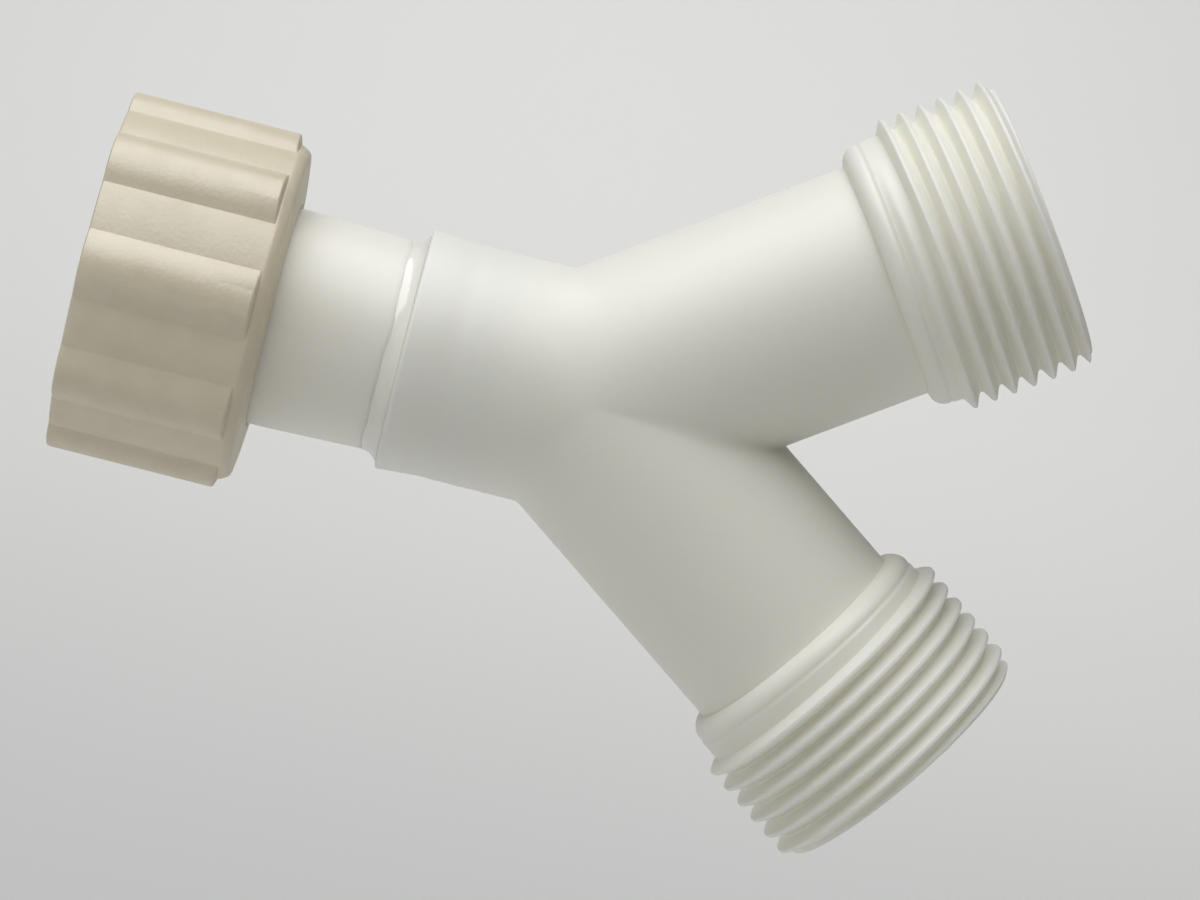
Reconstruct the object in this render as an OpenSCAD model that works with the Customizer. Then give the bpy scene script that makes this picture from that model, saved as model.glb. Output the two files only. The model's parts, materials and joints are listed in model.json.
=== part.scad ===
// Two-way hose splitter: a Y moulding with two threaded outlets and a swivel nut at its inlet.
// The inlet axis is +X, and the origin is the centre of the nut's mouth.
// The two outlets lie in the XZ plane, one above and one below the inlet axis.

/* [Hose thread] */
// Outside diameter of the male thread, G 3/4
thread_d = 26.44; // [26.2:0.01:26.5]
// Distance from one crest to the next, 14 turns to the inch
thread_pitch = 1.814; // [1.75:0.001:1.85]
// Depth from crest to root
thread_depth = 1.16; // [1.0:0.01:1.2]
// Angle between the two flanks of a crest
thread_angle = 55; // [50:1:60]
// Crests along one side of each outlet
outlet_crests = 7; // [4:1:7]

/* [Outlet arms] */
// Angle between each outlet and the inlet axis
arm_angle = 35; // [32:1:42]
// Outside diameter of the arms
arm_d = 21.0; // [20.6:0.1:21.4]
// Bore of the arms
arm_bore_d = 16.4; // [14:0.1:17]
// Length of an arm, from the junction to its end face
arm_l = 42.8; // [42.8:0.1:48]
// From the junction to the step of the collar
collar_at = 27.85; // [26:0.05:27.85]
// Diameter of the collar's crown
collar_d = 23.6; // [22.4:0.1:23.8]
// Length of the collar
collar_l = 2.35; // [2:0.05:2.35]
// Diameter of the plain rim at the end face
rim_d = 24.7; // [24.2:0.1:25]
// Bevel inside each outlet
outlet_bevel = 0.8; // [0.2:0.1:1]

/* [Inlet socket] */
// From the junction to the mouth of the socket
socket_l = 16.1; // [15:0.1:18]
// Outside diameter at the mouth
socket_d = 21.5; // [21.2:0.1:22]
// Outside diameter at the junction
neck_d = 20.9; // [20.6:0.1:21.1]
// Depth of the socket
socket_depth = 8.5; // [6:0.1:9]
// Bore from the socket to the junction
inlet_bore_d = 15.2; // [13:0.1:16]

/* [Inlet tube] */
// Outside diameter behind the flange
tube_d = 19.3; // [19:0.1:19.4]
// Outside diameter in the socket
spigot_d = 18.8; // [18.4:0.1:18.8]
// Bore of the tube
tube_bore_d = 14.4; // [12:0.1:15]
// Diameter of the flange that holds the nut on
flange_d = 23.4; // [22.8:0.1:23.6]
// Thickness of the flange
flange_t = 1.8; // [1.4:0.1:1.8]
// Length of the neck, from the nut's back face to the mouth of the socket
neck_l = 12.0; // [11:0.1:14]

/* [Swivel nut] */
// Diameter between the ridges
nut_d = 30.0; // [29.8:0.1:30.4]
// Diameter over the ridges
ridge_over_d = 32.0; // [31.4:0.1:32.4]
// Number of grip ridges
ridges = 9; // [8:1:11]
// Width of a ridge at its foot
ridge_w = 5.2; // [4:0.1:5.6]
// Length of the ridges
ridge_l = 15.05; // [13:0.05:15.2]
// Length of the nut, from its mouth to the edge of its back face
nut_l = 16.0; // [15.8:0.1:16.2]
// Rise of the back face towards the hole
nut_crown = 0.4; // [0.1:0.1:0.5]
// Hole in the back of the nut
nut_hole_d = 19.9; // [19.8:0.1:20.2]
// Thickness of the shoulder that bears on the flange
shoulder_t = 1.9; // [1.5:0.1:1.9]
// Diameter inside the crests of the nut's thread
nut_thread_d = 24.3; // [24.2:0.01:24.6]
// Turns of thread in the nut
nut_turns = 5; // [3:1:5]
// Turn of the nut at rest
nut_turn = 23; // [0:1:40]

/* [Sealing washer] */
// Outside diameter
washer_d = 23.8; // [23.4:0.1:24]
// Hole through the washer
washer_hole_d = 15.0; // [14.6:0.1:16]
// Thickness
washer_t = 2.5; // [2:0.1:2.5]

/* [Hidden] */
$fn = 96;

white_nylon = [0.93, 0.93, 0.90];
cream_abs = [0.88, 0.85, 0.75];
black_rubber = [0.13, 0.13, 0.13];

// A cut runs this far past the faces that it opens.
past = 1;
// Gap between the flange and the parts that turn against it
end_play = 0.05;

// The thread as seen in section: straight flanks, with flats as wide at the crest as at the root
flank_l = thread_depth * tan(thread_angle / 2);
flat_l = thread_pitch / 2 - flank_l;
root_r = thread_d / 2 - thread_depth;

// Places along the inlet axis
junction_x = nut_l + neck_l + socket_l;
mouth_x = junction_x - socket_l;
spigot_x = mouth_x + socket_depth;
shoulder_x = nut_l - shoulder_t;
flange_x = shoulder_x - end_play - flange_t;
washer_x = flange_x - end_play - washer_t;

// The junction's ball is a little fatter than the three tubes that start inside it.
ball_r = arm_d / 2 + 0.12;
ball_bore_r = arm_bore_d / 2 + 0.12;
start_l = 1;

// Collar: a rounded step up, a low crown and a shallow groove before the thread
collar_step_l = 0.55;
collar_groove = 0.15;
first_crest_l = collar_at + collar_l + flank_l + flat_l;
last_crest_l = first_crest_l + (outlet_crests - 1) * thread_pitch;

// Plain rim at the end face
rim_r = rim_d / 2;
rim_l = last_crest_l + flat_l / 2 + (thread_d / 2 - rim_r) * tan(thread_angle / 2);
rim_edge = 0.2;

// Socket mouth, which flares over its last few millimetres
flare_l = 4;
mouth_edge = 0.25;

// Nut: a chamber behind the thread clears the washer and the flange
chamber_r = 12.6;
nut_edge = 0.35;
nut_bevel = 0.35;
back_edge = 0.6;
ridge_h = (ridge_over_d - nut_d) / 2;
ridge_r = (pow(ridge_w / 2, 2) + pow(ridge_h, 2)) / (2 * ridge_h);
thread_gap = 0.04;

// Bead of cement in the corner between the tube and the socket
bead_l = 1.4;
bead_h = 0.55;
bead_bite = 0.05;

// One crest of a thread, as [radius, length] points, centred on the length at
function crest(low_r, high_r, at) = [
    [low_r, at - flat_l / 2 - flank_l],
    [high_r, at - flat_l / 2],
    [high_r, at + flat_l / 2],
    [low_r, at + flat_l / 2 + flank_l],
];

// The same points without the last one
function all_but_last(points) = [for (i = [0 : len(points) - 2]) points[i]];

// A row of crests, one pitch apart
function crests(low_r, high_r, first, count) = [
    for (i = [0 : count - 1])
        for (p = crest(low_r, high_r, first + i * thread_pitch))
            p,
];

// A quarter of an ellipse from [r, l] up to [r + high, l + long], steep at first
function rounded_step(r, l, high, long, steps = 6) = [
    for (i = [0 : steps])
        let (a = 90 * i / steps)
            [r + high * sin(a), l + long * (1 - cos(a))],
];

// Lays a shape made along +Z on the inlet axis.
module on_inlet(x = 0) {
    translate([x, 0, 0])
        rotate([0, 90, 0])
            children();
}

// Lays a shape made along +Z on an outlet axis. side is 1 for the upper arm and -1 for the lower.
module on_arm(side) {
    translate([junction_x, 0, 0])
        rotate([0, 90 - side * arm_angle, 0])
            children();
}

module arm_outside() {
    crown_r = collar_d / 2;
    collar_end = collar_at + collar_l;
    rotate_extrude()
        polygon(concat(
            [[0, start_l], [arm_d / 2, start_l]],
            rounded_step(arm_d / 2, collar_at, crown_r - arm_d / 2, collar_step_l * 2),
            [[crown_r - collar_groove, collar_end - 0.25]],
            [[root_r, collar_end]],
            all_but_last(crests(root_r, thread_d / 2, first_crest_l, outlet_crests)),
            [[rim_r, rim_l], [rim_r, arm_l - rim_edge], [rim_r - rim_edge, arm_l], [0, arm_l]]
        ));
}

module arm_inside() {
    translate([0, 0, start_l])
        cylinder(h = arm_l, d = arm_bore_d);
    translate([0, 0, arm_l - outlet_bevel])
        cylinder(h = 2 * outlet_bevel, d1 = arm_bore_d, d2 = arm_bore_d + 4 * outlet_bevel);
}

module socket_outside() {
    rotate_extrude()
        polygon([
            [0, 0],
            [socket_d / 2 - mouth_edge, 0],
            [socket_d / 2, mouth_edge],
            [neck_d / 2, flare_l],
            [neck_d / 2, socket_l - start_l],
            [0, socket_l - start_l],
        ]);
}

// The Y moulding: socket, junction and two threaded arms
module y_body() {
    color(white_nylon)
        difference() {
            union() {
                on_inlet(mouth_x) socket_outside();
                translate([junction_x, 0, 0]) sphere(r = ball_r);
                on_arm(1) arm_outside();
                on_arm(-1) arm_outside();
            }
            on_inlet(mouth_x - past) cylinder(h = socket_depth + past, d = spigot_d + 0.04);
            on_inlet(spigot_x - past) cylinder(h = junction_x - spigot_x + past - start_l, d = inlet_bore_d);
            translate([junction_x, 0, 0]) sphere(r = ball_bore_r);
            on_arm(1) arm_inside();
            on_arm(-1) arm_inside();
        }
}

// The tube between the nut and the socket, with the flange that keeps the nut on
module inlet_tailpiece() {
    tube_r = tube_d / 2;
    color(white_nylon)
        on_inlet()
            difference() {
                rotate_extrude()
                    polygon([
                        [0, flange_x],
                        [flange_d / 2, flange_x],
                        [flange_d / 2, flange_x + flange_t],
                        [tube_r, flange_x + flange_t],
                        [tube_r, nut_l + 2],
                        [spigot_d / 2, mouth_x - bead_l - 0.5],
                        [spigot_d / 2, spigot_x],
                        [0, spigot_x],
                    ]);
                translate([0, 0, flange_x - past])
                    cylinder(h = spigot_x - flange_x + 2 * past, d = tube_bore_d);
            }
}

// The bead of cement squeezed out where the tube enters the socket
module socket_bead() {
    color(white_nylon)
        on_inlet()
            rotate_extrude()
                polygon([
                    [spigot_d / 2 - bead_bite, mouth_x - bead_l],
                    [spigot_d / 2 + bead_h * 0.3, mouth_x - bead_l * 0.8],
                    [spigot_d / 2 + bead_h * 0.7, mouth_x - bead_l * 0.45],
                    [spigot_d / 2 + bead_h, mouth_x],
                    [spigot_d / 2 - bead_bite, mouth_x],
                ]);
}

module nut_blank() {
    rotate_extrude()
        polygon([
            [0, 0],
            [nut_d / 2 - nut_edge, 0],
            [nut_d / 2, nut_edge],
            [nut_d / 2, nut_l - back_edge],
            [nut_d / 2 - back_edge, nut_l],
            [nut_hole_d / 2, nut_l + nut_crown],
            [0, nut_l + nut_crown],
        ]);
    for (i = [0 : ridges - 1])
        rotate([0, 0, nut_turn + i * 360 / ridges])
            translate([ridge_over_d / 2 - ridge_r, 0, 0])
                cylinder(h = ridge_l, r = ridge_r);
}

// The nut's inside: crests that start at the mouth, then the chamber
module nut_inside() {
    crest_r = nut_thread_d / 2;
    groove_r = thread_d / 2 + thread_gap;
    first_groove = nut_bevel + flat_l + flank_l + flat_l / 2;
    thread_end = first_groove + (nut_turns - 1) * thread_pitch + flat_l / 2 + flank_l;
    rotate_extrude()
        polygon(concat(
            [[0, -past], [crest_r + nut_bevel, -past], [crest_r + nut_bevel, 0], [crest_r, nut_bevel]],
            crests(crest_r, groove_r, first_groove, nut_turns),
            [[crest_r, thread_end + flat_l / 2], [chamber_r, washer_x - end_play]],
            [[chamber_r, shoulder_x], [0, shoulder_x]]
        ));
    cylinder(h = nut_l + nut_crown + past, d = nut_hole_d);
}

// The ribbed nut. It turns on the tube and can be drawn back along it.
module swivel_nut() {
    color(cream_abs)
        on_inlet()
            difference() {
                nut_blank();
                nut_inside();
            }
}

// The flat washer that the tap presses against the flange
module sealing_washer() {
    color(black_rubber)
        on_inlet(washer_x)
            difference() {
                cylinder(h = washer_t, d = washer_d);
                translate([0, 0, -past])
                    cylinder(h = washer_t + 2 * past, d = washer_hole_d);
            }
}

y_body();
inlet_tailpiece();
socket_bead();
swivel_nut();
sealing_washer();
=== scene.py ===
"""Hose splitter: a white moulded Y with two threaded outlets and a cream swivel nut at its inlet.

The inlet axis is +X, from the nut's mouth to the junction, and the two outlets lie in the XZ plane.
Sizes are in millimetres and are turned to metres when a mesh is made.
"""
import json
import math

import bmesh
import bpy
import numpy as np
from mathutils import Matrix, Vector


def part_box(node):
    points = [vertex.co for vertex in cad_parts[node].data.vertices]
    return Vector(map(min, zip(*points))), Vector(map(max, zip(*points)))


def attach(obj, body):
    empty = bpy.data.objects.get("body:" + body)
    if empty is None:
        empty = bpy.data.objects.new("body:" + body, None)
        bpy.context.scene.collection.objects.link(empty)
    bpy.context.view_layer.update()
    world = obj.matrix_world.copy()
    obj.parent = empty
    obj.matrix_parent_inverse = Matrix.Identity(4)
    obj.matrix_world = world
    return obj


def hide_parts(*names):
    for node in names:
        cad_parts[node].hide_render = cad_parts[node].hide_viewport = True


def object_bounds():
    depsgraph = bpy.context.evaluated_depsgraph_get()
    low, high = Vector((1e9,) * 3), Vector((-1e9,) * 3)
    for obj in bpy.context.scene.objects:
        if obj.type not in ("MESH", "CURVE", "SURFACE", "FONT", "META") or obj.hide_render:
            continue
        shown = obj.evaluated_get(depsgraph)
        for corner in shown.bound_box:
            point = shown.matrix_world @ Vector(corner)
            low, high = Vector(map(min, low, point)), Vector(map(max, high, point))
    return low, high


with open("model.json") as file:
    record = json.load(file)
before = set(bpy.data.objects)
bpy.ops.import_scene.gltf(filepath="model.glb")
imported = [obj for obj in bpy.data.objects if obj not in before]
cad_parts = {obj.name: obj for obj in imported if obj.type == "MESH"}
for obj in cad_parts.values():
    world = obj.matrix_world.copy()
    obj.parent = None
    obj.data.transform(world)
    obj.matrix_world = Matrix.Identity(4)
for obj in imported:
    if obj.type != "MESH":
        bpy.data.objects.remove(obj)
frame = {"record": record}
cad_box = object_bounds()

MM = 0.001
# Vertices closer together than this are welded.
WELD = 0.004 * MM


# ---------------------------------------------------------------- sizes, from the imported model

def node_box(node):
    """Lowest and highest corner of a CAD node, in millimetres."""
    low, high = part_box(node)
    return low / MM, high / MM


MOUNTS = {mount["name"]: mount for mount in frame["record"]["mounts"]}

body_low = node_box("y_body")[0]
tail_low, tail_high = node_box("inlet_tailpiece")
bead_low, bead_high = node_box("socket_bead")
nut_high = node_box("swivel_nut")[1]
washer_low, washer_high = node_box("sealing_washer")

# Outlet a's axis gives the angle of the arms, and where it meets the inlet axis is the junction.
thread_mount = MOUNTS["outlet_a"]
thread_middle = Vector(thread_mount["pos_m"]) / MM
arm_axis = Vector(thread_mount["axis"]).normalized()
arm_angle = math.atan2(arm_axis.z, arm_axis.x)
junction_x = thread_middle.x - thread_middle.z / math.tan(arm_angle)
arm_end = (Vector(MOUNTS["outlet_a_face"]["pos_m"]) / MM - Vector((junction_x, 0, 0))).dot(arm_axis)

# Hose thread: the parallel 3/4 inch one, 14 turns to the inch, with 55 degrees between its flanks
thread_r = thread_mount["dims"]["r_mm"]
thread_pitch = 1.814
thread_depth = 1.16
thread_angle = math.radians(55)
thread_flank = thread_depth * math.tan(thread_angle / 2)
thread_flat = thread_pitch / 2 - thread_flank
root_r = thread_r - thread_depth

# Arms, with lengths along an arm from the junction
arm_r = 10.5
arm_bore_r = 8.2
collar_at = 28.25
collar_r = 11.98
collar_l = 1.45
thread_start = 30.25
rim_r = 12.35
rim_corner = 0.15
arm_bore_lip = 0.95
# How far the shallow groove behind the thread lies back from the thread's start
groove_back, groove_middle, groove_front = 0.45, 0.35, 0.25

# Socket and inlet bore
mouth_x = body_low.x
socket_l = junction_x - mouth_x
socket_r = 10.75
socket_depth = tail_high.x - mouth_x
spigot_r = 9.4
inlet_bore_r = 7.6

# Tailpiece
tube_r = 9.65
tube_bore_r = 7.2
flange_r = tail_high.y
flange_t = 1.8

# Nut
nut_r = 15.0
ridge_over_r = 16.0
ridge_count = 9
ridge_foot = 5.2
ridge_l = 15.05
ridge_turn = math.radians(23)
nut_back_x = 16.0
nut_hole_r = 9.95
nut_crest_r = MOUNTS["inlet"]["dims"]["r_mm"]
nut_chamber_r = 12.6
nut_shoulder_x = 14.1
nut_crown_r = 13.2
nut_thread_depth = 1.11
nut_thread_start = 0.55
nut_thread_end = 9.5

# Washer
washer_hole_r = 7.5

# Columns round a piece, and rows along it
BODY_COLUMNS = 180
RIDGE_COLUMNS = 40
COLUMNS_ON_RIDGE = 26
NUT_COLUMNS = ridge_count * RIDGE_COLUMNS
THREAD_ROWS = 14
NUT_THREAD_ROWS = 12
JUNCTION_ROWS = 26
BORE_ROWS = 9


# ---------------------------------------------------------------- node trees

def add(tree, kind, inputs=(), **settings):
    """Adds a node with its settings. inputs is a list or a dict of values, nodes or sockets."""
    node = tree.nodes.new(kind)
    for key, value in settings.items():
        setattr(node, key, value)
    pairs = inputs.items() if isinstance(inputs, dict) else enumerate(inputs)
    for key, value in pairs:
        if isinstance(value, bpy.types.Node):
            value = value.outputs[0]
        if isinstance(value, bpy.types.NodeSocket):
            tree.links.new(value, node.inputs[key])
        else:
            node.inputs[key].default_value = value
    return node


def new_shape_tree(name, sizes):
    """An empty Geometry Nodes tree with geometry in and out, and a named input for each size."""
    tree = bpy.data.node_groups.new(name, "GeometryNodeTree")
    tree.interface.new_socket("Geometry", in_out="INPUT", socket_type="NodeSocketGeometry")
    for size in sizes:
        tree.interface.new_socket(size, in_out="INPUT", socket_type="NodeSocketFloat")
    tree.interface.new_socket("Material", in_out="INPUT", socket_type="NodeSocketMaterial")
    tree.interface.new_socket("Geometry", in_out="OUTPUT", socket_type="NodeSocketGeometry")
    return tree, add(tree, "NodeGroupInput").outputs


def end_shape_tree(tree, geometry, material):
    """Ends a tree in Realize Instances and Set Material."""
    solid = add(tree, "GeometryNodeRealizeInstances", [geometry])
    painted = add(tree, "GeometryNodeSetMaterial", {"Geometry": solid, "Material": material})
    add(tree, "NodeGroupOutput", [painted])


def grown(tree, values, start=None):
    """The plain mesh that a Geometry Nodes tree makes with these input values."""
    start = start or bpy.data.meshes.new(tree.name)
    carrier = bpy.data.objects.new(tree.name, start)
    bpy.context.scene.collection.objects.link(carrier)
    modifier = carrier.modifiers.new("shape", "NODES")
    modifier.node_group = tree
    for item in tree.interface.items_tree:
        if item.in_out == "INPUT" and item.name in values:
            modifier[item.identifier] = values[item.name]
    graph = bpy.context.evaluated_depsgraph_get()
    mesh = bpy.data.meshes.new_from_object(carrier.evaluated_get(graph))
    bpy.data.objects.remove(carrier)
    return mesh


MATH = "ShaderNodeMath"

# The grid of a thread starts two turns early, so that it covers its whole first ring.
SPARE_TURNS = 2.0
# Over this length the first rows rise from the plain ring.
START_EASE = 0.05
# How much of the thread's depth the rounding takes at a crest and at a root
CREST_SOFT = 0.14
ROOT_SOFT = 0.22

THREAD_SIZES = ["Start", "End", "Low radius", "High step", "Pitch", "Flank", "Flat", "End radius",
                "Chamfer", "Run-in", "Last crest", "Turn", "Columns", "Rows per turn"]


def make_thread_tree():
    """A helical thread as one skin round the Z axis.

    A flat grid is rolled up: its columns go round, and its rows climb by one pitch for every turn, so the
    last column meets the first one a turn further up. Rows past either end are pressed onto it.
    """
    tree, size = new_shape_tree("helical_thread", THREAD_SIZES)
    length = add(tree, MATH, [size["End"], size["Start"]], operation="SUBTRACT")
    pitches = add(tree, MATH, [length, size["Pitch"]], operation="DIVIDE")
    with_spare = add(tree, MATH, [pitches, SPARE_TURNS], operation="ADD")
    turns = add(tree, MATH, [with_spare], operation="CEIL")
    rows = add(tree, MATH, [turns, size["Rows per turn"]], operation="MULTIPLY")
    across_count = add(tree, MATH, [size["Columns"], 1.0], operation="ADD")
    up_count = add(tree, MATH, [rows, 1.0], operation="ADD")
    grid = add(tree, "GeometryNodeMeshGrid", {
        "Size X": 1.0, "Size Y": 1.0, "Vertices X": across_count, "Vertices Y": up_count})

    place = add(tree, "ShaderNodeSeparateXYZ", [add(tree, "GeometryNodeInputPosition")]).outputs
    round_share = add(tree, MATH, [place["X"], 0.5], operation="ADD")
    up_share = add(tree, MATH, [place["Y"], 0.5], operation="ADD")
    row_share = add(tree, MATH, [up_share, rows], operation="MULTIPLY")
    row = add(tree, MATH, [row_share], operation="ROUND")
    turn = add(tree, MATH, [row, size["Rows per turn"]], operation="DIVIDE")
    first_turn = add(tree, MATH, [size["Turn"], SPARE_TURNS], operation="SUBTRACT")
    shift = add(tree, MATH, [round_share, first_turn], operation="ADD")
    turned = add(tree, MATH, [turn, shift], operation="ADD")
    climb = add(tree, MATH, [turned, size["Pitch"], size["Start"]], operation="MULTIPLY_ADD")
    past_start = add(tree, MATH, [climb, size["Start"]], operation="MAXIMUM")
    along = add(tree, MATH, [past_start, size["End"]], operation="MINIMUM")

    # The profile has straight flanks and softened corners, with 1 at the crest and 0 at the root.
    whole_turn = add(tree, MATH, [turn], operation="FLOOR")
    half_on = add(tree, MATH, [whole_turn, 0.5], operation="ADD")
    crest_turn = add(tree, MATH, [half_on, shift], operation="ADD")
    crest_at = add(tree, MATH, [crest_turn, size["Pitch"], size["Start"]], operation="MULTIPLY_ADD")
    beside = add(tree, MATH, [climb, crest_at], operation="SUBTRACT")
    off = add(tree, MATH, [beside], operation="ABSOLUTE")
    half_crest = add(tree, MATH, [size["Flat"], 0.5, size["Flank"]], operation="MULTIPLY_ADD")
    inside = add(tree, MATH, [half_crest, off], operation="SUBTRACT")
    fall = add(tree, MATH, [inside, size["Flank"]], operation="DIVIDE")
    soft_crest = add(tree, MATH, [fall, 1.0, CREST_SOFT], operation="SMOOTH_MIN")
    height = add(tree, MATH, [soft_crest, 0.0, ROOT_SOFT], operation="SMOOTH_MAX")

    # The crest grows over the run-in and fades out as gently before the last crest's place.
    lowest = add(tree, MATH, [size["Start"], half_crest], operation="ADD")
    full_from = add(tree, MATH, [lowest, size["Run-in"]], operation="ADD")
    full_to = add(tree, MATH, [size["Last crest"], size["Run-in"]], operation="SUBTRACT")
    ease_end = add(tree, MATH, [size["Start"], START_EASE], operation="ADD")
    run_in = add(tree, "ShaderNodeMapRange", {"Value": crest_at, "From Min": lowest, "From Max": full_from})
    run_out = add(tree, "ShaderNodeMapRange", {"Value": crest_at, "From Min": size["Last crest"],
                                               "From Max": full_to})
    ease = add(tree, "ShaderNodeMapRange", {"Value": along, "From Min": size["Start"], "From Max": ease_end})
    crest_share = add(tree, MATH, [run_in, run_out], operation="MULTIPLY")
    share = add(tree, MATH, [crest_share, ease], operation="MULTIPLY")
    cut = add(tree, MATH, [height, share], operation="MULTIPLY")
    cut_r = add(tree, MATH, [cut, size["High step"], size["Low radius"]], operation="MULTIPLY_ADD")

    # Over the chamfer the thread passes into the plain ring at its end.
    chamfer_at = add(tree, MATH, [size["End"], size["Chamfer"]], operation="SUBTRACT")
    rim_share = add(tree, "ShaderNodeMapRange", {"Value": along, "From Min": chamfer_at,
                                                 "From Max": size["End"]})
    rim_step = add(tree, MATH, [size["End radius"], cut_r], operation="SUBTRACT")
    radius = add(tree, MATH, [rim_step, rim_share, cut_r], operation="MULTIPLY_ADD")

    angle = add(tree, MATH, [round_share, math.tau], operation="MULTIPLY")
    unturned = add(tree, "ShaderNodeCombineXYZ", [radius, 0.0, along])
    spot = add(tree, "ShaderNodeVectorRotate", {"Vector": unturned, "Angle": angle}, rotation_type="Z_AXIS")
    rolled = add(tree, "GeometryNodeSetPosition", {"Geometry": grid, "Position": spot})
    welded = add(tree, "GeometryNodeMergeByDistance", {"Geometry": rolled, "Distance": WELD / MM})
    end_shape_tree(tree, welded, size["Material"])
    return tree


FOOT_TOLERANCE = 0.0001

RIDGE_SIZES = ["Ridges", "Columns per ridge", "Columns on a ridge", "Valley radius", "Over ridges",
               "Ridge circle", "Foot angle", "Ridge length", "End round", "Turn"]


def make_ridge_tree():
    """Raises grip ridges on a turned blank, whose outer rings move out to a row of round-topped bars.

    Around each ridge the columns are gathered, so that an edge of the mesh runs along each foot.
    """
    tree, size = new_shape_tree("grip_ridges", RIDGE_SIZES)
    position = add(tree, "GeometryNodeInputPosition")
    place = add(tree, "ShaderNodeSeparateXYZ", [position]).outputs
    flat_place = add(tree, "ShaderNodeCombineXYZ", [place["X"], place["Y"], 0.0])
    blank_r = add(tree, "ShaderNodeVectorMath", [flat_place], operation="LENGTH").outputs["Value"]
    place_angle = add(tree, MATH, [place["Y"], place["X"]], operation="ARCTAN2")
    turned = add(tree, MATH, [place_angle, size["Turn"]], operation="SUBTRACT")
    round_share = add(tree, MATH, [turned, math.tau], operation="DIVIDE")
    share = add(tree, MATH, [round_share, size["Ridges"]], operation="MULTIPLY")
    nearest = add(tree, MATH, [share], operation="ROUND")
    off = add(tree, MATH, [share, nearest], operation="SUBTRACT")
    far = add(tree, MATH, [off], operation="ABSOLUTE")

    # A share of the columns lies on the ridge, and the others spread over the valley.
    ridge_share = add(tree, MATH, [size["Columns on a ridge"], size["Columns per ridge"]], operation="DIVIDE")
    half_share = add(tree, MATH, [ridge_share, 0.5], operation="MULTIPLY")
    half_gap = add(tree, MATH, [math.pi, size["Ridges"]], operation="DIVIDE")
    on_ridge = add(tree, "ShaderNodeMapRange", {
        "Value": far, "From Max": half_share, "To Max": size["Foot angle"]})
    in_valley = add(tree, "ShaderNodeMapRange", {
        "Value": far, "From Min": half_share, "From Max": 0.5,
        "To Min": size["Foot angle"], "To Max": half_gap})
    past_foot = add(tree, MATH, [half_share, FOOT_TOLERANCE], operation="ADD")
    ridge_side = add(tree, MATH, [far, past_foot], operation="LESS_THAN")
    lean = add(tree, "GeometryNodeSwitch", {"Switch": ridge_side, "False": in_valley, "True": on_ridge},
               input_type="FLOAT")
    side = add(tree, MATH, [off], operation="SIGN")
    centre_share = add(tree, MATH, [nearest, size["Ridges"]], operation="DIVIDE")
    centre = add(tree, MATH, [centre_share, math.tau, size["Turn"]], operation="MULTIPLY_ADD")
    angle = add(tree, MATH, [lean, side, centre], operation="MULTIPLY_ADD")

    # The ridge's top is part of a circle whose centre lies inside the nut.
    circle_at = add(tree, MATH, [size["Over ridges"], size["Ridge circle"]], operation="SUBTRACT")
    sine = add(tree, MATH, [lean], operation="SINE")
    cosine = add(tree, MATH, [lean], operation="COSINE")
    across = add(tree, MATH, [circle_at, sine], operation="MULTIPLY")
    chord_share = add(tree, MATH, [across, size["Ridge circle"]], operation="DIVIDE")
    chord_angle = add(tree, MATH, [chord_share], operation="ARCSINE")
    chord_cosine = add(tree, MATH, [chord_angle], operation="COSINE")
    chord = add(tree, MATH, [chord_cosine, size["Ridge circle"]], operation="MULTIPLY")
    top = add(tree, MATH, [circle_at, cosine, chord], operation="MULTIPLY_ADD")
    over_valley = add(tree, MATH, [top, size["Valley radius"]], operation="SUBTRACT")
    upward = add(tree, MATH, [over_valley, 0.0], operation="MAXIMUM")
    rise = add(tree, MATH, [upward, ridge_side], operation="MULTIPLY")

    # The rear end of each ridge is rounded off by a quarter of a circle.
    round_from = add(tree, MATH, [size["Ridge length"], size["End round"]], operation="SUBTRACT")
    end_turn = add(tree, "ShaderNodeMapRange", {
        "Value": place["Z"], "From Min": round_from, "From Max": size["Ridge length"]})
    end_angle = add(tree, MATH, [end_turn], operation="ARCSINE")
    end_share = add(tree, MATH, [end_angle], operation="COSINE")
    radius = add(tree, MATH, [rise, end_share, blank_r], operation="MULTIPLY_ADD")

    # Only rings near the valley radius or beyond it move, so the inner edges of mouth and back stay.
    skin_r = add(tree, MATH, [size["Valley radius"], 1.0], operation="SUBTRACT")
    outside = add(tree, MATH, [blank_r, skin_r], operation="GREATER_THAN")
    unturned = add(tree, "ShaderNodeCombineXYZ", [radius, 0.0, place["Z"]])
    spot = add(tree, "ShaderNodeVectorRotate", {"Vector": unturned, "Angle": angle}, rotation_type="Z_AXIS")
    raised = add(tree, "GeometryNodeSetPosition", {"Geometry": size["Geometry"], "Selection": outside,
                                                   "Position": spot})
    end_shape_tree(tree, raised, size["Material"])
    return tree


# ---------------------------------------------------------------- mesh work

def rounded(points, steps=3):
    """An outline of (radius, length, corner radius) with each corner turned into a curve of a few points."""
    outline = []
    for index, (radius, length, corner) in enumerate(points):
        here = Vector((radius, length))
        if corner == 0:
            outline.append(tuple(here))
            continue
        before = Vector(points[index - 1][:2])
        after = Vector(points[(index + 1) % len(points)][:2])
        first = here + (before - here).normalized() * corner
        last = here + (after - here).normalized() * corner
        for step in range(steps + 1):
            share = step / steps
            bend = first.lerp(here, share).lerp(here.lerp(last, share), share)
            outline.append(tuple(bend))
    return outline


def grid_faces(rows, columns, closed=False):
    """Quads between the rings of a skin whose rows are rings of vertices."""
    count = rows if closed else rows - 1
    return [(row * columns + column, row * columns + (column + 1) % columns,
             (row + 1) % rows * columns + (column + 1) % columns, (row + 1) % rows * columns + column)
            for row in range(count) for column in range(columns)]


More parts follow.
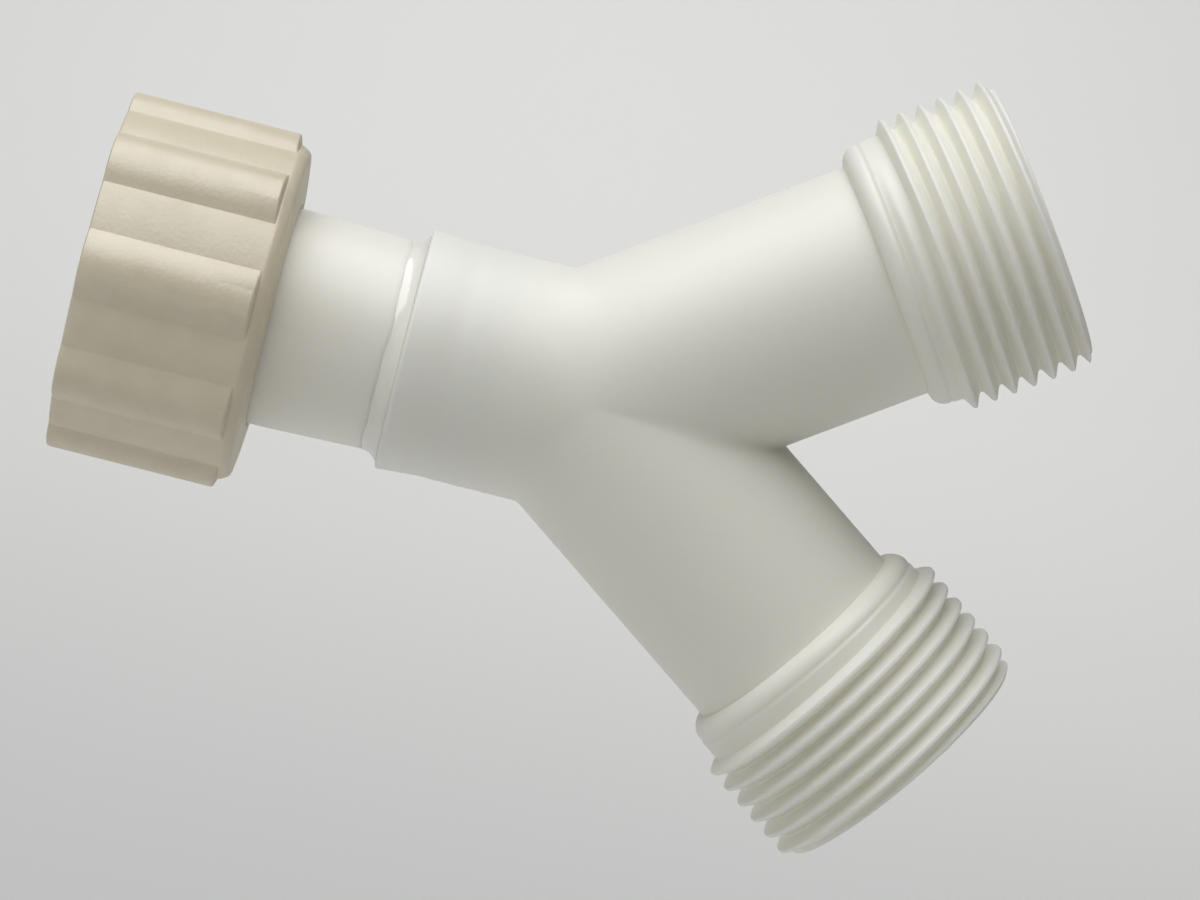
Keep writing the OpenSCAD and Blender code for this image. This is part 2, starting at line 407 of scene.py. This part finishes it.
def lathe(outline, columns, closed=False):
    """Turns an outline of (radius, length) round the Z axis. Returns vertices and faces."""
    angles = np.arange(columns) * math.tau / columns
    spots = [np.stack((radius * np.cos(angles), radius * np.sin(angles), np.full(columns, length)), axis=1)
             for radius, length in outline]
    return np.concatenate(spots), grid_faces(len(outline), columns, closed)


def mesh_skin(mesh):
    """The vertices and faces of a mesh."""
    spots = np.empty(len(mesh.vertices) * 3)
    mesh.vertices.foreach_get("co", spots)
    return spots.reshape(-1, 3), [tuple(face.vertices) for face in mesh.polygons]


def laid(skin, matrix):
    """A skin moved by a 4 x 4 matrix."""
    spots, faces = skin
    turn = np.array(matrix)
    return spots @ turn[:3, :3].T + turn[:3, 3], faces


def solid_piece(name, skins, material, body, nodes, sharp=38):
    """Welds skins in millimetres into one closed piece in metres, which replaces the CAD nodes.

    Edges that bend by more than sharp degrees stay crisp.
    """
    work = bmesh.new()
    for spots, faces in skins:
        made = [work.verts.new(spot * MM) for spot in spots]
        for face in faces:
            work.faces.new([made[index] for index in face])
    bmesh.ops.remove_doubles(work, verts=work.verts, dist=WELD)
    bmesh.ops.dissolve_degenerate(work, edges=work.edges, dist=WELD / 4)
    bmesh.ops.recalc_face_normals(work, faces=work.faces)
    if work.calc_volume(signed=True) < 0:
        bmesh.ops.reverse_faces(work, faces=work.faces)
    open_edges = sum(1 for edge in work.edges if len(edge.link_faces) != 2)
    mesh = bpy.data.meshes.new(name)
    work.to_mesh(mesh)
    work.free()
    mesh.shade_smooth()
    mesh.set_sharp_from_angle(angle=math.radians(sharp))
    mesh.materials.clear()
    mesh.materials.append(material)
    triangles = sum(len(face.vertices) - 2 for face in mesh.polygons)
    print(f"{name}: {triangles} triangles, {open_edges} open edges")
    piece = bpy.data.objects.new(name, mesh)
    bpy.context.scene.collection.objects.link(piece)
    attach(piece, body)
    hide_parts(*nodes)
    return piece


# ---------------------------------------------------------------- the Y moulding

Y_AXIS = np.array((0.0, 1.0, 0.0))


def flat_direction(angle):
    """A unit vector in the XZ plane, at an angle above +X."""
    return np.array((math.cos(angle), 0.0, math.sin(angle)))


TUBE_ANGLES = {"inlet": math.pi, "arm_a": arm_angle, "arm_b": -arm_angle}
TUBE_AXES = np.stack([flat_direction(angle) for angle in TUBE_ANGLES.values()])


def junction_gap(spots, tube_r, soft_edge, soft_middle):
    """How far each spot, measured from the junction, lies outside the blended surface of the three tubes.

    The blend is soft_edge wide in the plane of the tubes, up to about soft_middle wide halfway up their
    sides, and nothing on top, where the tubes are level with each other.
    """
    along = np.maximum(spots @ TUBE_AXES.T, 0)
    away = np.linalg.norm(spots[:, None, :] - along[:, :, None] * TUBE_AXES[None], axis=2) - tube_r
    away.sort(axis=1)
    side = np.clip((spots[:, 1] / tube_r) ** 2, 0, 1)
    soft = (soft_edge + (soft_middle - soft_edge) * 4 * side * (1 - side)) * (1 - side ** 4) + 1e-6
    nearest, second = away[:, 0], away[:, 1]
    mix = np.clip(1 - (second - nearest) / soft, 0, 1)
    return nearest - mix ** 2 * soft / 4


def reach(starts, directions, tube_r, soft_edge, soft_middle, steps=60):
    """Distances along the directions at which the blended surface is met, from a guess of one radius."""
    far = np.full(len(starts), tube_r, dtype=float)
    for _ in range(steps):
        far -= junction_gap(starts + directions * far[:, None], tube_r, soft_edge, soft_middle)
    return far


# The rows of a junction skin lie closer together near the junction: above 1, they gather there.
ROW_GATHERING = 1.5


def junction_skin(tube, tube_r, end, rows, columns, soft_edge, soft_middle):
    """One tube's share of the junction, from the planes where it meets its neighbours out to a plain ring.

    The rings follow the columns' angles about the tube's own axis, from +Y towards the tube's left side.
    """
    angle = TUBE_ANGLES[tube]
    axis, left = flat_direction(angle), flat_direction(angle + math.pi / 2)
    turns = np.arange(columns) * math.tau / columns
    cos, sin = np.cos(turns), np.sin(turns)
    sin[np.abs(sin) < 1e-9] = 0
    others = [(other - angle) % math.tau for name, other in TUBE_ANGLES.items() if name != tube]
    # Halfway to the neighbour on each side lies the plane where the two tubes meet.
    half = np.where(sin >= 0, min(others) / 2, (math.tau - max(others)) / 2)
    outward = cos[:, None] * Y_AXIS + sin[:, None] * left
    edge_way = outward + (np.abs(sin) / np.tan(half))[:, None] * axis
    edge_way /= np.linalg.norm(edge_way, axis=1)[:, None]
    origin = np.zeros((columns, 3))
    edge_far = reach(origin, edge_way, tube_r, soft_edge, soft_middle)
    edge = edge_way * edge_far[:, None]
    starts = edge @ axis
    skin = [edge]
    for row in range(1, rows):
        share = row / (rows - 1)
        lengths = starts + (end - starts) * share ** ROW_GATHERING
        middle = lengths[:, None] * axis
        radii = reach(middle, outward, tube_r, soft_edge, soft_middle)
        if row == rows - 1:  # the last ring is the plain tube's own
            radii[:] = tube_r
        skin.append(middle + outward * radii[:, None])
    spots = np.concatenate(skin) + np.array((junction_x, 0, 0))
    return spots, grid_faces(rows, columns)


def tube_frame(tube):
    """Matrix that lays a shape turned round +Z on a tube's axis, with its first column at +Y."""
    angle = TUBE_ANGLES[tube]
    axis, left = flat_direction(angle), flat_direction(angle + math.pi / 2)
    matrix = Matrix.Identity(4)
    for row in range(3):
        matrix[row][0], matrix[row][1], matrix[row][2] = Y_AXIS[row], left[row], axis[row]
    matrix[0][3] = junction_x
    return matrix


BODY_SOFT = dict(soft_edge=0.12, soft_middle=1.3)
BORE_SOFT = dict(soft_edge=0.5, soft_middle=1.5)

# How far from the junction its skins reach, outside and in the bores
ARM_SMOOTH_END = 24.0
NECK_END = 11.0
ARM_BORE_END = 20.0
NECK_BORE_END = 6.0


def collar_outline(shoulder_steps=10):
    """The end of a plain arm, its rounded collar and the shallow groove before the thread."""
    crown = collar_r - arm_r
    outline = [(arm_r, ARM_SMOOTH_END), (arm_r, collar_at - 0.4), (arm_r + 0.02, collar_at)]
    for step in range(1, shoulder_steps + 1):
        turn = math.pi / 2 * step / shoulder_steps
        outline.append((arm_r + crown * math.sin(turn), collar_at + collar_l * (1 - math.cos(turn))))
    return outline + [
        (collar_r - 0.03, thread_start - groove_back), (collar_r - 0.05, thread_start - groove_middle),
        (collar_r - 0.03, thread_start - groove_front), (root_r - 0.03, thread_start - 0.1),
        (root_r, thread_start)]


def end_face_outline():
    """An outlet's rim, its flat end face and the bore with its rounded lip."""
    return [(rim_r, arm_end - rim_corner), (rim_r - 0.05, arm_end - 0.045), (rim_r - rim_corner, arm_end),
            (arm_bore_r + arm_bore_lip, arm_end), (arm_bore_r + 0.8, arm_end - 0.06),
            (arm_bore_r + 0.08, arm_end - 0.74), (arm_bore_r, arm_end - 0.9), (arm_bore_r, ARM_BORE_END)]


def arm_skins(tube, material, thread_tree, thread_turn):
    """An arm past the junction: collar, helical thread, rim, end face and bore."""
    thread_end = arm_end - rim_corner
    thread = grown(thread_tree, {
        "Start": thread_start, "End": thread_end, "Low radius": root_r, "High step": thread_depth,
        "Pitch": thread_pitch, "Flank": thread_flank, "Flat": thread_flat, "End radius": rim_r,
        "Chamfer": 0.3, "Run-in": 0.7, "Last crest": thread_end + 2 * thread_pitch, "Turn": thread_turn,
        "Columns": float(BODY_COLUMNS), "Rows per turn": float(THREAD_ROWS), "Material": material})
    collar = lathe(collar_outline(), BODY_COLUMNS)
    face = lathe(end_face_outline(), BODY_COLUMNS)
    return [laid(skin, tube_frame(tube)) for skin in (collar, mesh_skin(thread), face)]


def socket_skins():
    """The socket past the junction: its flared outside, mouth, recess for the tube and bore."""
    recess_r = spigot_r + 0.02
    recess_end = socket_l - socket_depth
    waist_r = arm_r - 0.03
    outline = rounded([
        (arm_r, NECK_END, 0), (waist_r, socket_l - 4.6, 0), (waist_r, socket_l - 4.0, 0.5),
        (socket_r, socket_l, 0.38), (spigot_r + 0.3, socket_l, 0.15), (recess_r, socket_l - 0.3, 0),
        (recess_r, recess_end, 0), (inlet_bore_r, recess_end, 0),
        (inlet_bore_r, NECK_BORE_END + 0.8, 0.2), (arm_bore_r, NECK_BORE_END, 0)])
    return [laid(lathe(outline, BODY_COLUMNS), tube_frame("inlet"))]


# How far each outlet's helix is turned round its arm, as a share of a turn
THREAD_TURNS = {"arm_a": 0.577, "arm_b": 0.132}


def y_body(material, thread_tree):
    """The Y moulding, as one closed skin."""
    skins = socket_skins()
    for tube, thread_turn in THREAD_TURNS.items():
        skins += arm_skins(tube, material, thread_tree, thread_turn)
    for tube in TUBE_ANGLES:
        end, bore_end = (NECK_END, NECK_BORE_END) if tube == "inlet" else (ARM_SMOOTH_END, ARM_BORE_END)
        skins.append(junction_skin(tube, arm_r, end, JUNCTION_ROWS, BODY_COLUMNS, **BODY_SOFT))
        skins.append(junction_skin(tube, arm_bore_r, bore_end, BORE_ROWS, BODY_COLUMNS, **BORE_SOFT))
    return solid_piece("y_body_moulding", skins, material, "splitter", ["y_body"])


# ---------------------------------------------------------------- pieces on the inlet axis

# Lays a shape turned round +Z on the inlet axis, with its own length as X.
ON_INLET = Matrix(((0, 0, 1, 0), (0, 1, 0, 0), (-1, 0, 0, 0), (0, 0, 0, 1)))


def inlet_tailpiece(material):
    """The tube with the flange that holds the nut on. It narrows a little towards the socket."""
    flange_x = tail_low.x
    taper_x = 18.0
    outline = rounded([
        (tube_bore_r, flange_x, 0.3), (flange_r, flange_x, 0.25), (flange_r, flange_x + flange_t, 0.25),
        (tube_r, flange_x + flange_t, 0), (tube_r, taper_x - 0.5, 0), (tube_r, taper_x, 0.4),
        (spigot_r, bead_low.x - 0.5, 0.4), (spigot_r, bead_low.x, 0), (spigot_r, tail_high.x, 0.2),
        (tube_bore_r, tail_high.x, 0.2)])
    skins = [laid(lathe(outline, BODY_COLUMNS, closed=True), ON_INLET)]
    return solid_piece("inlet_tube", skins, material, "splitter", ["inlet_tailpiece"])


def socket_bead(material):
    """The bead of cement in the corner of the socket's mouth, a little uneven round the tube."""
    start, end = bead_low.x, bead_high.x - 0.02
    bite = 0.05
    low, rise, hollow, steps = 0.03, 0.8, 2.2, 12
    outline = [(spigot_r - bite, start)]
    for step in range(steps + 1):
        share = step / steps
        outline.append((spigot_r + low + rise * share ** hollow, start + (end - start) * share))
    outline.append((spigot_r - bite, end))
    spots, faces = lathe(outline, BODY_COLUMNS, closed=True)

    # Three slow waves round the tube move the bead's thin edge, and its edge at the socket stays put.
    turn = np.arctan2(spots[:, 1], spots[:, 0])
    waves = 0.078 * np.sin(3 * turn + 0.7) + 0.052 * np.sin(7 * turn + 2.1) + 0.039 * np.sin(13 * turn)
    free_mm = bead_high.x - 0.3 - spots[:, 2]
    spots[:, 2] += waves * np.clip(free_mm, 0, 1)
    skins = [laid((spots, faces), ON_INLET)]
    return solid_piece("cement_bead", skins, material, "splitter", ["socket_bead"])


NUT_BEVEL = 0.35
NUT_CROWN = (nut_crown_r, nut_back_x + 0.16)


def nut_blank_outline():
    """The nut's outside before the ridges are raised: mouth, side, and the smooth ring at the back."""
    back_r = nut_r - 0.6
    mouth = [(nut_crest_r + NUT_BEVEL, 0), (nut_r - NUT_BEVEL, 0), (nut_r - 0.1, 0.1), (nut_r, NUT_BEVEL)]
    side = [(nut_r, 5), (nut_r, 10)] + [(nut_r, ridge_l - back) for back in (0.3, 0.2, 0.1, 0.04, 0.01, 0)]
    ring = [(nut_r, ridge_l + 0.12), (nut_r - 0.06, ridge_l + 0.3), (back_r + 0.2, nut_back_x - 0.12),
            (back_r + 0.02, nut_back_x), NUT_CROWN]
    return mouth + side + ring


def swivel_nut(material, thread_tree, ridge_tree):
    """The ribbed nut: ridged outside, back face, hole, chamber and female thread."""
    back_to_thread = [
        NUT_CROWN, (nut_hole_r + 0.5, nut_high.x), (nut_hole_r + 0.12, nut_high.x - 0.04),
        (nut_hole_r, nut_high.x - 0.2), (nut_hole_r, nut_shoulder_x), (nut_chamber_r, nut_shoulder_x),
        (nut_chamber_r, nut_thread_end + 0.3), (nut_crest_r, nut_thread_end)]
    mouth = [(nut_crest_r, nut_thread_start), (nut_crest_r, NUT_BEVEL), (nut_crest_r + NUT_BEVEL, 0)]

    blank = bpy.data.meshes.new("nut_blank")
    spots, faces = lathe(nut_blank_outline(), NUT_COLUMNS)
    blank.from_pydata(spots.tolist(), [], faces)
    half_foot = ridge_foot / 2
    rise = ridge_over_r - nut_r
    ridges = grown(ridge_tree, {
        "Ridges": float(ridge_count), "Columns per ridge": float(RIDGE_COLUMNS),
        "Columns on a ridge": float(COLUMNS_ON_RIDGE), "Valley radius": nut_r, "Over ridges": ridge_over_r,
        "Ridge circle": (half_foot ** 2 + rise ** 2) / (2 * rise), "Foot angle": math.asin(half_foot / nut_r),
        "Ridge length": ridge_l, "End round": 0.3, "Turn": ridge_turn, "Material": material}, blank)
    thread = grown(thread_tree, {
        "Start": nut_thread_start, "End": nut_thread_end, "Low radius": nut_crest_r,
        "High step": nut_thread_depth, "Pitch": thread_pitch, "Flank": thread_flank, "Flat": thread_flat,
        "End radius": nut_crest_r, "Chamfer": 0.3, "Run-in": 0.3,
        "Last crest": nut_thread_end - thread_pitch / 2, "Turn": 0.0, "Columns": float(NUT_COLUMNS),
        "Rows per turn": float(NUT_THREAD_ROWS), "Material": material})
    skins = [mesh_skin(ridges), lathe(back_to_thread, NUT_COLUMNS), mesh_skin(thread),
             lathe(mouth, NUT_COLUMNS)]
    skins = [laid(skin, ON_INLET) for skin in skins]
    return solid_piece("ribbed_nut", skins, material, "nut", ["swivel_nut"], sharp=24)


def sealing_washer(material):
    """The flat rubber washer, with slightly rounded edges."""
    radius = washer_high.y
    outline = rounded([
        (washer_hole_r, washer_low.x, 0.25), (radius, washer_low.x, 0.3), (radius, washer_high.x, 0.3),
        (washer_hole_r, washer_high.x, 0.25)])
    skins = [laid(lathe(outline, BODY_COLUMNS, closed=True), ON_INLET)]
    return solid_piece("rubber_washer", skins, material, "washer", ["sealing_washer"])


# ---------------------------------------------------------------- materials

def paint(code):
    """A linear colour from an sRGB hex code."""
    shares = [int(code[index:index + 2], 16) / 255 for index in (1, 3, 5)]
    linear = [share / 12.92 if share <= 0.04045 else ((share + 0.055) / 1.055) ** 2.4 for share in shares]
    return linear + [1.0]


# The colour sockets of a Mix node share their names with its other sockets, so they go by number.
MIX_A, MIX_B, MIX_RESULT = 6, 7, 2


def plastic(name, light, dark, patch_mm, speck_mm, speck_depth_mm, roughness, **fixed):
    """A material of slow colour clouds, a fine surface texture and roughness that varies a little."""
    material = bpy.data.materials.new(name)
    material.use_nodes = True
    tree = material.node_tree
    tree.nodes.clear()
    place = add(tree, "ShaderNodeTexCoord").outputs["Object"]
    clouds = add(tree, "ShaderNodeTexNoise", {"Vector": place, "Scale": 1 / (patch_mm * MM), "Detail": 3.0})
    specks = add(tree, "ShaderNodeTexNoise", {"Vector": place, "Scale": 1 / (speck_mm * MM), "Detail": 2.0})
    tint = add(tree, "ShaderNodeMix", {"Factor": clouds, MIX_A: paint(light), MIX_B: paint(dark)},
               data_type="RGBA")
    gloss = add(tree, "ShaderNodeMapRange", {"Value": clouds, "To Min": roughness[0], "To Max": roughness[1]})
    bump = add(tree, "ShaderNodeBump", {"Height": specks, "Strength": 1.0, "Distance": speck_depth_mm * MM})
    shader = add(tree, "ShaderNodeBsdfPrincipled", {
        "Base Color": tint.outputs[MIX_RESULT], "Roughness": gloss, "Normal": bump})
    for socket, value in fixed.items():
        shader.inputs[socket.replace("_", " ")].default_value = value
    add(tree, "ShaderNodeOutputMaterial", [shader])
    return material


# Light soaks 1.5 mm into nylon, a little further in red than in blue.
MILKY_NYLON = dict(IOR=1.53, Subsurface_Weight=0.7, Subsurface_Scale=1.5 * MM,
                   Subsurface_Radius=(1.0, 0.92, 0.78))


def make_materials():
    """The five materials, in the order Y moulding, tube, bead, nut, washer."""
    # Nylon moulding, satin from the mould: milky, so that its shaded sides stay light.
    nylon = plastic("moulded_white_nylon", "#F4F3E9", "#EFEEE2", patch_mm=14, speck_mm=0.6,
                    speck_depth_mm=0.012, roughness=(0.40, 0.48), **MILKY_NYLON)
    # Extruded tube of the same nylon: a smoother and slightly glossier skin.
    tube = plastic("extruded_white_nylon", "#F5F3E9", "#F1EFE3", patch_mm=14, speck_mm=0.8,
                   speck_depth_mm=0.006, roughness=(0.34, 0.42), **MILKY_NYLON)
    # Solvent cement, set clear over white: a wet-looking gloss.
    cement = plastic("set_clear_cement", "#F5F4EB", "#F1F0E5", patch_mm=3, speck_mm=0.9,
                     speck_depth_mm=0.008, roughness=(0.12, 0.2), IOR=1.49, Coat_Weight=0.5,
                     Coat_Roughness=0.08)
    # ABS from a spark-eroded mould: a dull grain, finer than 0.35 mm, drawn that coarse so that it shows.
    cream = plastic("moulded_cream_abs", "#E2D8BF", "#D4C9AE", patch_mm=2.2, speck_mm=0.35,
                    speck_depth_mm=0.025, roughness=(0.36, 0.46), IOR=1.53, Specular_IOR_Level=0.9)
    # Nitrile rubber, cut from sheet: near black, dull, with a little bloom.
    rubber = plastic("cut_black_rubber", "#1E1E1E", "#2A2A29", patch_mm=4, speck_mm=0.4,
                     speck_depth_mm=0.015, roughness=(0.7, 0.85), IOR=1.5)
    return nylon, tube, cement, cream, rubber


# ---------------------------------------------------------------- stage, light and camera

def make_stage():
    """A plain pale floor that rises into a backdrop far behind the object."""
    material = bpy.data.materials.new("matt_grey_paper")
    material.use_nodes = True
    shader = material.node_tree.nodes["Principled BSDF"]
    shader.inputs["Base Color"].default_value = paint("#D6D6D4")
    shader.inputs["Roughness"].default_value = 0.9
    shader.inputs["Specular IOR Level"].default_value = 0.1
    floor_z = cad_box[0].z - 0.12
    near, far, half_width, height = -6.0, 2.0, 6.0, 3.0
    bend, bend_steps = 0.8, 12
    section = [(near, floor_z), (far - bend, floor_z)]
    for step in range(1, bend_steps + 1):
        turn = math.pi / 2 * step / bend_steps
        section.append((far - bend + bend * math.sin(turn), floor_z + bend * (1 - math.cos(turn))))
    section.append((far, floor_z + height))
    spots = [(x, y, z) for y, z in section for x in (-half_width, half_width)]
    faces = [(2 * row, 2 * row + 1, 2 * row + 3, 2 * row + 2) for row in range(len(section) - 1)]
    mesh = bpy.data.meshes.new("floor_and_backdrop")
    mesh.from_pydata(spots, [], faces)
    mesh.shade_smooth()
    mesh.materials.append(material)
    sweep = bpy.data.objects.new("floor_and_backdrop", mesh)
    bpy.context.scene.collection.objects.link(sweep)


def area_light(name, place, aim, width, power, colour, spread=180):
    """A square soft light at a place, turned to an aim. The spread is in degrees."""
    light = bpy.data.lights.new(name, "AREA")
    light.shape = "SQUARE"
    light.size = width
    light.energy = power
    light.color = paint(colour)[:3]
    light.spread = math.radians(spread)
    lamp = bpy.data.objects.new(name, light)
    lamp.location = place
    lamp.rotation_mode = "QUATERNION"
    lamp.rotation_quaternion = (Vector(aim) - Vector(place)).to_track_quat("-Z", "Y")
    bpy.context.scene.collection.objects.link(lamp)


def make_lights():
    """A big softbox above and a little to the inlet's side, a light for the backdrop, and a warm dim room."""
    middle = (cad_box[0] + cad_box[1]) / 2
    above = middle + Vector((-0.33, -0.33, 1.22))
    area_light("overhead_softbox", above, middle, width=1.7, power=25.0, colour="#F9FAFF")
    area_light("backdrop_light", (0.08, 0.88, 1.3), (0.08, 1.6, 0.0), width=0.5, power=4.6,
               colour="#FFFFFF", spread=100)
    world = bpy.data.worlds.new("dim_room")
    world.use_nodes = True
    sky = world.node_tree.nodes["Background"]
    sky.inputs["Color"].default_value = paint("#F2EFD6")
    sky.inputs["Strength"].default_value = 0.08
    bpy.context.scene.world = world


def make_camera():
    """A long lens that looks from a little above, rolled so that the inlet axis slopes down to the right."""
    azimuth, elevation, roll = (math.radians(angle) for angle in (-1.61, 6.0, 14.4))
    distance = 437.1 * MM
    aside, below = 1.52 * MM, 4.9 * MM
    back = Vector((math.sin(azimuth) * math.cos(elevation), -math.cos(azimuth) * math.cos(elevation),
                   math.sin(elevation)))
    level = Vector((math.cos(azimuth), math.sin(azimuth), 0))
    upright = back.cross(level)
    right = level * math.cos(roll) + upright * math.sin(roll)
    up = upright * math.cos(roll) - level * math.sin(roll)
    data = bpy.data.cameras.new("camera")
    data.lens = 150
    data.clip_start = 0.01
    data.clip_end = 20
    camera = bpy.data.objects.new("camera", data)
    junction = Vector((junction_x * MM, 0, 0))
    place = junction + back * distance + right * aside - up * below
    camera.matrix_world = Matrix.Translation(place) @ Matrix((right, up, back)).transposed().to_4x4()
    bpy.context.scene.collection.objects.link(camera)
    bpy.context.scene.camera = camera


# ---------------------------------------------------------------- making it

make_camera()
make_lights()
make_stage()
nylon, tube, cement, cream, rubber = make_materials()
thread_tree = make_thread_tree()
ridge_tree = make_ridge_tree()
y_body(nylon, thread_tree)
inlet_tailpiece(tube)
socket_bead(cement)
swivel_nut(cream, thread_tree, ridge_tree)
sealing_washer(rubber)
bpy.context.scene.view_settings.view_transform = "Standard"
